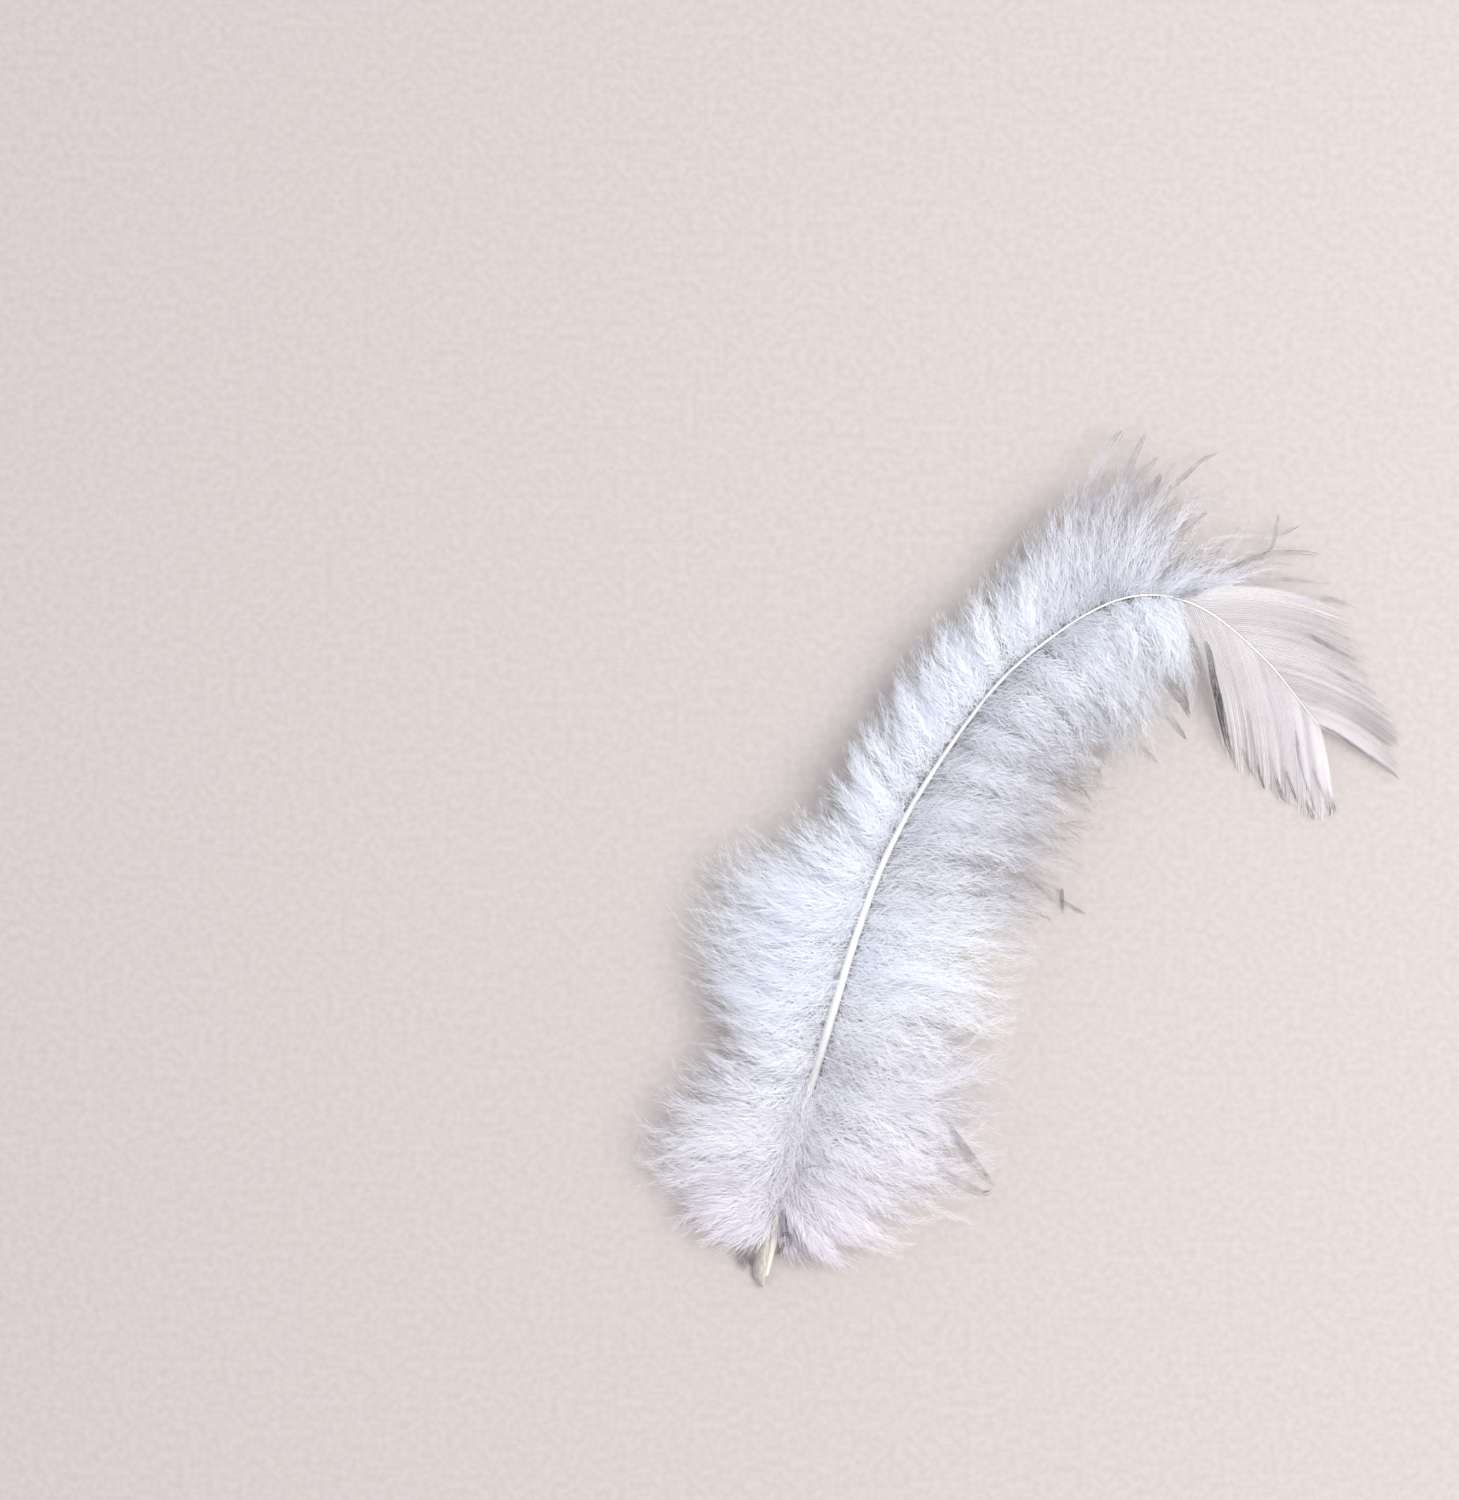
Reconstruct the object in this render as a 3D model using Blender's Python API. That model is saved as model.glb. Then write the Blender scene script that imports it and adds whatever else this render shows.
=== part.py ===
# A white turkey body feather, lying as it fell. One grown piece: a curved shaft from a cut quill,
# locks of down along both sides, and two thin open vanes at the tip.
# +Y points away from the quill, +X to the side that the tip bends to, and +Z up.
# The origin is on the surface below the middle of the feather.
import math
import random

import bmesh
import bpy
from mathutils import Matrix, Vector

MM = 0.001
UP = Vector((0, 0, 1))
LEFT = 1
RIGHT = -1

# The shaft as seen from above, from the cut end to the tip, in mm
SHAFT_ROUTE = (
    (-31.1, -50.9),
    (-28.3, -37.5),
    (-25.0, -24.8),
    (-17.0, 0.0),
    (-6.0, 17.9),
    (3.0, 26.5),
    (12.0, 31.2),
    (20.2, 30.3),
    (28.4, 24.1),
    (35.2, 16.0),
)
# (fraction of the shaft, mm)
SHAFT_HEIGHT = ((0.0, 0.9), (0.08, 2.4), (0.2, 5.6), (0.4, 8.4), (0.62, 8.2), (0.8, 5.6), (1.0, 1.9))
SHAFT_RADIUS = ((0.0, 0.72), (0.45, 0.66), (0.75, 0.42), (0.9, 0.3), (1.0, 0.24))
SHAFT_SIDES = 8
SHAFT_STATIONS = 22
# The quill's slanting cut: how far from its end, in mm, and how steep, in degrees
QUILL_CUT = 1.6
QUILL_CUT_SLOPE = 55

# Down, side by side with the shaft: (fraction of the shaft, degrees from the shaft's way, length in mm)
LEFT_DOWN = (
    (0.06, 130, 6.0),
    (0.09, 116, 12.0),
    (0.15, 98, 18.0),
    (0.19, 96, 12.5),
    (0.22, 80, 14.0),
    (0.29, 96, 19.0),
    (0.35, 96, 22.0),
    (0.39, 86, 14.0),
    (0.42, 74, 9.5),
    (0.48, 84, 10.5),
    (0.68, 80, 11.0),
    (0.71, 72, 16.0),
    (0.77, 76, 19.5),
    (0.80, 70, 18.0),
)
RIGHT_DOWN = (
    (0.06, 140, 5.5),
    (0.09, 124, 12.0),
    (0.12, 102, 18.0),
    (0.16, 92, 24.5),
    (0.25, 84, 22.5),
    (0.34, 72, 21.5),
    (0.42, 79, 23.5),
    (0.48, 71, 22.5),
    (0.59, 70, 17.5),
    (0.68, 82, 19.0),
    (0.77, 74, 16.0),
    (0.80, 60, 12.5),
)
DOWN_START = 0.065
DOWN_END = 0.795
# Each layer of locks: how many a side, what share of the length they reach, and their sizes in mm
TOP_LAYER = {"locks": 19, "reach": 1.0, "tip_height": 5.2, "arch": 4.6, "width": 7.2, "thickness": 3.8}
LOW_LAYER = {"locks": 10, "reach": 0.92, "tip_height": 1.0, "arch": -1.7, "width": 9.4, "thickness": 4.6}
LOCK_SIDES = 8
LOCK_STATIONS = 5
LOCK_CURL = 26
LOCK_ROOT_DROP = 1.7
# A lock shorter than this, or rooted lower than this, is smaller all over
FULL_LENGTH = 9.0
FULL_HEIGHT = 4.0
LENGTH_SPREAD = 0.09
ANGLE_SPREAD = 4
HEIGHT_SPREAD = 1.0
# Fullness of a lock from its root to its tip: (fraction of its length, share of its width)
LOCK_SHAPE = ((0.0, 0.55), (0.2, 0.88), (0.45, 1.0), (0.8, 0.7), (1.0, 0.1))

# Vanes at the tip, as for the down
UPPER_VANE = (
    (0.805, 44, 17.5),
    (0.83, 35, 17.0),
    (0.87, 26, 17.3),
    (0.92, 21, 17.5),
    (0.96, 24, 14.5),
    (1.0, 15, 12.0),
)
LOWER_VANE = (
    (0.805, 57, 13.0),
    (0.83, 51, 20.5),
    (0.87, 41, 20.0),
    (0.92, 32, 17.5),
    (0.96, 29, 15.5),
    (1.0, 28, 11.0),
)
VANE_THICKNESS = 0.9
VANE_TEETH = 7
VANE_ROWS = 4
VANE_NOTCH = 0.16
VANE_TIP_HEIGHT = 0.55
VANE_ARCH = 0.5
VANE_ROOT_OVERLAP = 0.25

FLOOR_CUT = (140, 140, 20)
# Shares of the shaft over which its height is rounded off, and its way is measured
EASE = 0.025
WAY_STEP = 0.01
SPACING_STEPS = 100
# The direction along which points are put in order, and the digits of a metre that they keep
SORT_WAY = Vector((1.0, 0.618, 0.382))
SNAP_DIGITS = 7
SEED = 14


def clear_scene():
    for obj in list(bpy.data.objects):
        bpy.data.objects.remove(obj, do_unlink=True)


def value_at(profile, place, column=1):
    """A profile's value at a place, straight between the given stations."""
    if place <= profile[0][0]:
        return profile[0][column]
    for before, after in zip(profile, profile[1:]):
        if place <= after[0]:
            share = (place - before[0]) / (after[0] - before[0])
            return before[column] + share * (after[column] - before[column])
    return profile[-1][column]


def eased_value_at(profile, place):
    """The same, but rounded off at each station."""
    return sum(value_at(profile, place + step * EASE) for step in (-2, -1, 0, 1, 2)) / 5


class Route:
    """A smooth curve through the shaft's points, read by the fraction of its length."""

    STEPS = 24

    def __init__(self, points):
        ends = [Vector(point) for point in points]
        ends = [2 * ends[0] - ends[1]] + ends + [2 * ends[-1] - ends[-2]]
        self.points = []
        for before, start, end, after in zip(ends, ends[1:], ends[2:], ends[3:]):
            for step in range(self.STEPS):
                self.points.append(self.between(before, start, end, after, step / self.STEPS))
        self.points.append(ends[-2])
        self.lengths = [0.0]
        for start, end in zip(self.points, self.points[1:]):
            self.lengths.append(self.lengths[-1] + (end - start).length)

    @staticmethod
    def between(before, start, end, after, t):
        return 0.5 * (
            2 * start
            + (end - before) * t
            + (2 * before - 5 * start + 4 * end - after) * t ** 2
            + (3 * start - before - 3 * end + after) * t ** 3
        )

    def flat_point(self, fraction):
        along = fraction * self.lengths[-1]
        for i, end in enumerate(self.lengths[1:]):
            if along <= end:
                share = (along - self.lengths[i]) / (end - self.lengths[i])
                return self.points[i].lerp(self.points[i + 1], share)
        return self.points[-1]

    def point(self, fraction):
        flat = self.flat_point(fraction)
        return Vector((flat.x, flat.y, eased_value_at(SHAFT_HEIGHT, fraction)))

    def way(self, fraction):
        """The level direction in which the shaft runs there."""
        ahead = self.flat_point(min(fraction + WAY_STEP, 1.0))
        behind = self.flat_point(max(fraction - WAY_STEP, 0.0))
        return Vector((ahead.x - behind.x, ahead.y - behind.y, 0)).normalized()


def turned(way, degrees):
    return Matrix.Rotation(math.radians(degrees), 3, "Z") @ way


def ring_frame(point, way, half_width, half_thickness):
    """Carries a unit circle to a cross-section at the point, square to the way it runs."""
    forward = way.normalized()
    across = forward.cross(UP).normalized()
    over = across.cross(forward)
    frame = Matrix((across * half_width, over * half_thickness, forward)).transposed().to_4x4()
    frame.translation = point
    return frame


def loft(name, path, half_widths, half_thicknesses, sides):
    """A closed tapering finger along a path, made by extruding one ring from station to station."""
    mesh = bmesh.new()
    frames = []
    for i, point in enumerate(path):
        way = path[min(i + 1, len(path) - 1)] - path[max(i - 1, 0)]
        frames.append(ring_frame(point, way, half_widths[i], half_thicknesses[i]))
    bmesh.ops.create_circle(mesh, cap_ends=False, radius=1.0, segments=sides)
    bmesh.ops.transform(mesh, matrix=frames[0], verts=mesh.verts)
    edges = list(mesh.edges)
    for before, after in zip(frames, frames[1:]):
        made = bmesh.ops.extrude_edge_only(mesh, edges=edges)["geom"]
        verts = [item for item in made if isinstance(item, bmesh.types.BMVert)]
        edges = [item for item in made if isinstance(item, bmesh.types.BMEdge)]
        bmesh.ops.transform(mesh, matrix=after @ before.inverted(), verts=verts)
    bmesh.ops.holes_fill(mesh, edges=mesh.edges)
    return finished(name, mesh)


def finished(name, mesh):
    """The object of a mesh built in mm, with its faces outward and smooth."""
    bmesh.ops.scale(mesh, vec=(MM, MM, MM), verts=mesh.verts)
    bmesh.ops.recalc_face_normals(mesh, faces=mesh.faces)
    data = bpy.data.meshes.new(name)
    mesh.to_mesh(data)
    mesh.free()
    data.shade_smooth()
    return bpy.data.objects.new(name, data)


def make_shaft(route):
    fractions = [i / SHAFT_STATIONS for i in range(SHAFT_STATIONS + 1)]
    path = [route.point(fraction) for fraction in fractions]
    radii = [value_at(SHAFT_RADIUS, fraction) for fraction in fractions]
    shaft = loft("feather", path, radii, radii, SHAFT_SIDES)
    cut_quill(shaft, route)
    return shaft


def cut_quill(shaft, route):
    """The slanting cut across the quill's end."""
    mesh = bmesh.new()
    mesh.from_mesh(shaft.data)
    way = route.way(0.0)
    across = way.cross(UP)
    toward_end = -(Matrix.Rotation(math.radians(QUILL_CUT_SLOPE), 3, across) @ way)
    place = (route.point(0.0) + way * QUILL_CUT) * MM
    geometry = mesh.verts[:] + mesh.edges[:] + mesh.faces[:]
    bmesh.ops.bisect_plane(mesh, geom=geometry, plane_co=place, plane_no=toward_end, clear_outer=True)
    bmesh.ops.holes_fill(mesh, edges=mesh.edges)
    bmesh.ops.recalc_face_normals(mesh, faces=mesh.faces)
    mesh.to_mesh(shaft.data)
    mesh.free()


def barb_path(route, fraction, side, angle, length, curl, root_height, tip_height, arch, stations):
    """Points from the shaft outward, sweeping towards the shaft's tip and arching over."""
    flat = route.flat_point(fraction)
    way = route.way(fraction)
    points = []
    for i in range(stations + 1):
        share = i / stations
        height = root_height + (tip_height - root_height) * share + 4 * arch * share * (1 - share)
        points.append(Vector((flat.x, flat.y, height)))
        heading = turned(way, side * (angle + curl * (0.5 - share)))
        flat = flat + heading.xy * (length / stations)
    return points


def make_lock(name, route, fraction, side, profile, layer, draw):
    angle = value_at(profile, fraction, 1) + draw.uniform(-ANGLE_SPREAD, ANGLE_SPREAD)
    length = value_at(profile, fraction, 2) * layer["reach"]
    length *= 1 + draw.uniform(-LENGTH_SPREAD, LENGTH_SPREAD)
    root = eased_value_at(SHAFT_HEIGHT, fraction) - LOCK_ROOT_DROP
    size = min(1.0, length / FULL_LENGTH)
    tip = layer["tip_height"] * min(1.0, root / FULL_HEIGHT)
    tip += draw.uniform(-HEIGHT_SPREAD, HEIGHT_SPREAD) * size
    arch = layer["arch"] * size
    path = barb_path(route, fraction, side, angle, length, LOCK_CURL, root, tip, arch, LOCK_STATIONS)
    shape = [value_at(LOCK_SHAPE, i / LOCK_STATIONS) for i in range(LOCK_STATIONS + 1)]
    half_widths = [share * size * layer["width"] / 2 for share in shape]
    half_thicknesses = [share * size * layer["thickness"] / 2 for share in shape]
    return loft(name, path, half_widths, half_thicknesses, LOCK_SIDES)


def even_fractions(route, side, profile, count):
    """Places along the shaft whose locks are equally far apart at their middles."""
    samples = [DOWN_START + (DOWN_END - DOWN_START) * i / SPACING_STEPS for i in range(SPACING_STEPS + 1)]
    middles = []
    for fraction in samples:
        heading = turned(route.way(fraction), side * value_at(profile, fraction, 1))
        middles.append(route.flat_point(fraction) + heading.xy * value_at(profile, fraction, 2) / 2)
    covered = [0.0]
    for before, after in zip(middles, middles[1:]):
        covered.append(covered[-1] + (after - before).length)
    stations = list(zip(covered, samples))
    return [value_at(stations, covered[-1] * i / (count - 1)) for i in range(count)]


def make_locks(route):
    draw = random.Random(SEED)
    locks = []
    for side, profile in ((LEFT, LEFT_DOWN), (RIGHT, RIGHT_DOWN)):
        for layer in (TOP_LAYER, LOW_LAYER):
            for fraction in even_fractions(route, side, profile, layer["locks"]):
                locks.append(make_lock(f"lock_{len(locks)}", route, fraction, side, profile, layer, draw))
    return locks


def make_vane(name, route, side, profile):
    """A thin sheet of barbs whose outer edge is parted into points."""
    mesh = bmesh.new()
    columns = 2 * VANE_TEETH
    bmesh.ops.create_grid(mesh, x_segments=columns, y_segments=VANE_ROWS, size=1.0)
    start, end = profile[0][0], profile[-1][0]
    for vert in mesh.verts:
        column = round((vert.co.x + 1) / 2 * columns)
        row = (vert.co.y + 1) / 2
        fraction = start + (end - start) * column / columns
        angle = value_at(profile, fraction, 1)
        length = value_at(profile, fraction, 2)
        if column % 2:
            length *= 1 - VANE_NOTCH
        heading = turned(route.way(fraction), side * angle)
        outward = turned(route.way(fraction), side * 90)
        root = route.point(fraction) - UP * VANE_THICKNESS / 2 - outward * VANE_ROOT_OVERLAP
        height = root.z + (VANE_TIP_HEIGHT - root.z) * row + 4 * VANE_ARCH * row * (1 - row)
        place = root + heading * (length * row)
        vert.co = (place.x, place.y, height)
    bmesh.ops.recalc_face_normals(mesh, faces=mesh.faces)
    bmesh.ops.solidify(mesh, geom=mesh.faces[:], thickness=VANE_THICKNESS)
    return finished(name, mesh)


def hide_helper(obj):
    obj.hide_render = True
    obj.display_type = "WIRE"


def boolean(obj, name, operation, **operand):
    modifier = obj.modifiers.new(name, "BOOLEAN")
    modifier.operation = operation
    modifier.solver = "EXACT"
    for key, value in operand.items():
        setattr(modifier, key, value)


def shells_of(mesh):
    """The mesh's faces, gathered into the shells that they form."""
    left = set(mesh.faces)
    shells = []
    while left:
        found = [left.pop()]
        shell = []
        while found:
            face = found.pop()
            shell.append(face)
            for edge in face.edges:
                for other in edge.link_faces:
                    if other in left:
                        left.remove(other)
                        found.append(other)
        shells.append(shell)
    return shells


def in_order(mesh):
    """The same mesh with its points and faces listed by where they are, so that it is the same each time."""
    ordered = bmesh.new()
    mesh.verts.sort(key=lambda vert: vert.co.dot(SORT_WAY))
    mesh.verts.index_update()
    verts = [ordered.verts.new([round(number, SNAP_DIGITS) for number in vert.co]) for vert in mesh.verts]
    for face in sorted(mesh.faces, key=lambda face: sorted(vert.index for vert in face.verts)):
        indices = [vert.index for vert in face.verts]
        first = indices.index(min(indices))
        ordered.faces.new([verts[i] for i in indices[first:] + indices[:first]])
    mesh.free()
    return ordered


def apply_booleans(feather):
    """Makes the object's Booleans real, and fills the pockets closed in between overlapping locks."""
    joined = feather.evaluated_get(bpy.context.evaluated_depsgraph_get())
    mesh = bmesh.new()
    mesh.from_mesh(joined.data)
    for pocket in sorted(shells_of(mesh), key=len)[:-1]:
        bmesh.ops.delete(mesh, geom=pocket, context="FACES")
    mesh = in_order(mesh)
    feather.modifiers.clear()
    mesh.to_mesh(feather.data)
    mesh.free()
    feather.data.shade_smooth()


def fuse(feather, pieces):
    """Joins what grows from the shaft."""
    growth = bpy.data.collections.new("growth")
    bpy.context.scene.collection.children.link(growth)
    for piece in pieces:
        growth.objects.link(piece)
        hide_helper(piece)
    boolean(feather, "growth", "UNION", operand_type="COLLECTION", collection=growth)
    apply_booleans(feather)


def trim_flat(feather):
    """Cuts flat what would sink into the surface."""
    mesh = bmesh.new()
    bmesh.ops.create_cube(mesh, size=1.0)
    bmesh.ops.scale(mesh, vec=FLOOR_CUT, verts=mesh.verts)
    bmesh.ops.translate(mesh, vec=(0, 0, -FLOOR_CUT[2] / 2), verts=mesh.verts)
    floor_cut = finished("floor_cut", mesh)
    bpy.context.scene.collection.objects.link(floor_cut)
    hide_helper(floor_cut)
    boolean(feather, "floor_cut", "DIFFERENCE", object=floor_cut)
    apply_booleans(feather)


def white_keratin():
    material = bpy.data.materials.new("white keratin")
    material.use_nodes = True
    shader = material.node_tree.nodes["Principled BSDF"]
    shader.inputs["Base Color"].default_value = (0.78, 0.79, 0.83, 1)
    shader.inputs["Roughness"].default_value = 0.75
    shader.inputs["Metallic"].default_value = 0.0
    return material


def main():
    clear_scene()
    route = Route(SHAFT_ROUTE)
    feather = make_shaft(route)
    pieces = make_locks(route)
    pieces.append(make_vane("upper_vane", route, LEFT, UPPER_VANE))
    pieces.append(make_vane("lower_vane", route, RIGHT, LOWER_VANE))
    bpy.context.scene.collection.objects.link(feather)
    fuse(feather, pieces)
    trim_flat(feather)
    feather.data.materials.append(white_keratin())


main()
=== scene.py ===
import math

import bmesh
import bpy
import numpy as np
from mathutils import Matrix, Vector


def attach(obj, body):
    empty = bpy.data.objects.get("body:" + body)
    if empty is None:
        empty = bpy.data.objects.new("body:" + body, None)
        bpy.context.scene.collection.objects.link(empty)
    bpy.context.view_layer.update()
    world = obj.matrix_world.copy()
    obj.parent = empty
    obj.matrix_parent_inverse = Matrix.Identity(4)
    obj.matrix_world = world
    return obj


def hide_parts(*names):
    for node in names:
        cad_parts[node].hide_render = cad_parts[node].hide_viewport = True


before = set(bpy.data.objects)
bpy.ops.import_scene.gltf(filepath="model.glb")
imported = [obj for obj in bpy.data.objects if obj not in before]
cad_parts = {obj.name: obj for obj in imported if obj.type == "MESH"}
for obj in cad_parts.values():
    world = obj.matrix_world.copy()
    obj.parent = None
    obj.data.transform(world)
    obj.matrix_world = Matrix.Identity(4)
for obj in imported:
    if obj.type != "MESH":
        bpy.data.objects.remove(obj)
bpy.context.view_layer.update()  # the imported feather: one node, one body

mm = 0.001
leftSide, rightSide = 1, -1
seed = 20
keratinIor = 1.54
floorSize = 600  # mm from the middle to its edges
floorGap = 0.04  # mm from the surface to the lowest threads
sharpAngle = 50  # degrees, above which an edge stays sharp

# The shaft as it lies, seen from above, in mm; the way it bends sets where every barb grows. Its height and
# radius go by share of its length
shaftPlan = {
    "route": [
        (-31.1, -50.9), (-28.3, -37.5), (-25.0, -24.8), (-17.0, 0.0), (-6.0, 17.9),
        (3.0, 26.5), (12.0, 31.2), (20.2, 30.3), (28.4, 24.1), (35.2, 16.0),
    ],
    "height": [(0.0, 0.9), (0.08, 2.4), (0.2, 5.6), (0.4, 8.4), (0.62, 8.2), (0.8, 5.6), (1.0, 1.9)],
    "smoothing": 0.025,
    "radius": [
        (0.0, 0.3), (0.02, 0.38), (0.045, 0.58), (0.26, 0.6), (0.42, 0.42), (0.55, 0.28), (0.7, 0.17),
        (0.8, 0.12), (1.0, 0.075),
    ],
    "sides": 14, "stations": 110, "cut": 1.6, "cutSlope": 55,
}


# A value at each place of a profile, whose rows start with a place
def readProfile(profile, places, column=1):
    stations = np.array(profile, float)
    return np.interp(places, stations[:, 0], stations[:, column])


# A smooth curve through the given points, with many points of its own
def smoothLine(points, steps=24):
    ends = np.array(points, float)
    ends = np.vstack([2 * ends[0] - ends[1], ends, 2 * ends[-1] - ends[-2]])
    t = (np.arange(steps) / steps)[:, None]
    stretches = []
    for a, b, c, d in zip(ends, ends[1:], ends[2:], ends[3:]):
        bend = (2 * a - 5 * b + 4 * c - d) * t ** 2 + (3 * b - a - 3 * c + d) * t ** 3
        stretches.append(0.5 * (2 * b + (c - a) * t + bend))
    return np.vstack(stretches + [ends[-2:-1]])


shaftLine = smoothLine(shaftPlan["route"])
shaftRun = np.concatenate([[0], np.cumsum(np.linalg.norm(np.diff(shaftLine, axis=0), axis=1))])
shaftLength = shaftRun[-1]
shaftShare = shaftRun / shaftLength


def shaftPlace(share):
    return np.stack([np.interp(share, shaftShare, shaftLine[:, i]) for i in range(2)], axis=-1)


# The height averaged over five places close together, so that its profile shows no kinks
def shaftHeight(share):
    nearby = [share + step * shaftPlan["smoothing"] for step in (-2, -1, 0, 1, 2)]
    return sum(readProfile(shaftPlan["height"], place) for place in nearby) / len(nearby)


def shaftWay(share, step=0.01):
    way = shaftPlace(np.minimum(share + step, 1)) - shaftPlace(np.maximum(share - step, 0))
    return way / np.linalg.norm(way, axis=-1, keepdims=True)


# Level directions turned by so many degrees, to the left where positive
def turned(way, degrees):
    angle = np.radians(degrees)
    x, y = way[..., 0], way[..., 1]
    return np.stack([x * np.cos(angle) - y * np.sin(angle), x * np.sin(angle) + y * np.cos(angle)], axis=-1)


def unit(vectors):
    return vectors / np.maximum(np.linalg.norm(vectors, axis=-1, keepdims=True), 1e-9)


# Paths of many barbs at once, (barbs, steps + 1, 3), in mm. On its way out a barb turns by its curl, in
# degrees, towards the feather's tip
def growPaths(root, way, side, angle, length, curl, rootHeight, tipHeight, arch, steps):
    share = np.linspace(0, 1, steps + 1)
    heading = side * (angle[:, None] + curl[:, None] * (0.5 - share[:-1]))
    stride = turned(way[:, None], heading) * (length / steps)[:, None, None]
    level = np.concatenate([root[:, None], root[:, None] + np.cumsum(stride, axis=1)], axis=1)
    height = rootHeight[:, None] * (1 - share) + tipHeight[:, None] * share
    height = height + 4 * arch[:, None] * share * (1 - share)
    return np.concatenate([level, height[..., None]], axis=2)


# Points and tangents partway along each path; places is (barbs, count) of shares from 0 to 1
def readPaths(paths, places):
    steps = paths.shape[1] - 1
    at = np.clip(places * steps, 0, steps - 1e-6)
    low = at.astype(int)
    rest = (at - low)[..., None]
    rows = np.arange(len(paths))[:, None]
    start, end = paths[rows, low], paths[rows, low + 1]
    return start * (1 - rest) + end * rest, unit(end - start)


# A level side and an upper side, square to each direction
def sidesOf(way):
    level = unit(np.cross([0.0, 0.0, 1.0], way))
    return level, np.cross(way, level)


# Keeps a thread of this thickness off the surface that the feather lies on
def aboveSurface(points, radii):
    points = points.copy()
    points[..., 2] = np.maximum(points[..., 2], radii + floorGap)
    return points


# The three corners of a thread's section at each point, as a list
def corners(points, level, over, radii, start=0.0):
    turns = [2 * math.pi * corner / 3 + start for corner in range(3)]
    return [points + radii[..., None] * (level * math.cos(turn) + over * math.sin(turn)) for turn in turns]


# Three-sided tapering tubes along the paths, closed at both ends, with a tone for each point of each path:
# (points, triangles, tone of each point)
def tubes(paths, radii, tones):
    count, rings = paths.shape[:2]
    paths = aboveSurface(paths, radii)
    level, over = sidesOf(unit(np.gradient(paths, axis=1)))
    points = np.stack(corners(paths, level, over, radii, math.pi / 2), axis=2).reshape(-1, 3)
    first = (np.arange(count) * rings * 3)[:, None, None]
    ring = (np.arange(rings - 1) * 3)[None, :, None]
    corner = np.arange(3)[None, None, :]
    a, b = first + ring + corner, first + ring + (corner + 1) % 3
    walls = np.concatenate([np.stack([a, b, b + 3], -1), np.stack([a, b + 3, a + 3], -1)]).reshape(-1, 3)
    start = first.reshape(-1, 1) + np.array([[0, 2, 1]])
    end = first.reshape(-1, 1) + (rings - 1) * 3 + np.array([[0, 1, 2]])
    return points, np.concatenate([walls, start, end]), np.repeat(tones.ravel(), 3)


# One small form many times: (points, triangles, tones)
def repeated(points, faces, tones):
    faces = (np.arange(tones.size) * len(points))[:, None, None] + np.array(faces)
    return np.stack(points, axis=1).reshape(-1, 3), faces.reshape(-1, 3), np.repeat(tones, len(points))


# Tapering needles of four faces each, from their feet along their ways
def needles(feet, ways, lengths, radius, tones):
    feet, ways, radii = feet.reshape(-1, 3), ways.reshape(-1, 3), np.full(lengths.size, radius)
    tips = aboveSurface(feet + ways * lengths.reshape(-1, 1), radii)
    feet = aboveSurface(feet, radii)
    level, over = sidesOf(unit(tips - feet))
    faces = [[0, 1, 3], [1, 2, 3], [2, 0, 3], [0, 2, 1]]
    return repeated(corners(feet, level, over, radii) + [tips], faces, tones)


# Bent threads of six faces each, thickest in the middle
def threads(feet, middles, tips, radii, tones):
    radii = radii.ravel()
    feet, middles, tips = [aboveSurface(points.reshape(-1, 3), radii) for points in (feet, middles, tips)]
    level, over = sidesOf(unit(tips - feet))
    faces = [[0, 2, 1], [0, 3, 2], [0, 1, 3], [1, 2, 4], [2, 3, 4], [3, 1, 4]]
    return repeated([feet] + corners(middles, level, over, radii) + [tips], faces, tones)


# One object of all the given (points, triangles, tones), with the tones kept on its points
def joinedPiece(name, parts, material):
    points, faces, tones = zip(*parts)
    offsets = np.cumsum([0] + [len(some) for some in points[:-1]])
    faces = [some + offset for some, offset in zip(faces, offsets)]
    points, faces, tones = [np.concatenate(some) for some in (points, faces, tones)]
    mesh = bpy.data.meshes.new(name)
    mesh.vertices.add(len(points))
    mesh.vertices.foreach_set("co", (points * mm).astype(np.float32).ravel())
    mesh.loops.add(len(faces) * 3)
    mesh.loops.foreach_set("vertex_index", faces.astype(np.int32).ravel())
    mesh.polygons.add(len(faces))
    mesh.polygons.foreach_set("loop_start", np.arange(0, len(faces) * 3, 3, dtype=np.int32))
    mesh.update(calc_edges=True)
    mesh.shade_flat()
    mesh.attributes.new("tone", "FLOAT", "POINT").data.foreach_set("value", tones.astype(np.float32))
    mesh.materials.append(material)
    piece = bpy.data.objects.new(name, mesh)
    bpy.context.scene.collection.objects.link(piece)
    print(name, len(faces), "triangles")
    return piece


def standFor(piece):
    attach(piece, "root")
    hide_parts("feather")


# Colours are sRGB hex, turned to linear here
def colour(code):
    parts = [int(code[i:i + 2], 16) / 255 for i in (1, 3, 5)]
    return [p / 12.92 if p <= 0.04045 else ((p + 0.055) / 1.055) ** 2.4 for p in parts] + [1.0]


# Sets inputs of one node: fixed values, and links to what drives them
def setInputs(owner, node, values=None, links=None):
    for key, value in (values or {}).items():
        node.inputs[key].default_value = value
    for key, source in (links or {}).items():
        owner.node_tree.links.new(source, node.inputs[key])


# Adds one node with its settings, inputs and, for a colour ramp, its stops
def addNode(material, kind, settings=None, values=None, links=None, stops=()):
    node = material.node_tree.nodes.new(kind)
    for key, value in (settings or {}).items():
        setattr(node, key, value)
    setInputs(material, node, values, links)
    for i, (place, code) in enumerate(stops):
        elements = node.color_ramp.elements
        element = elements[i] if i < len(elements) else elements.new(place)
        element.position = place
        element.color = colour(code)
    return node


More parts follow.
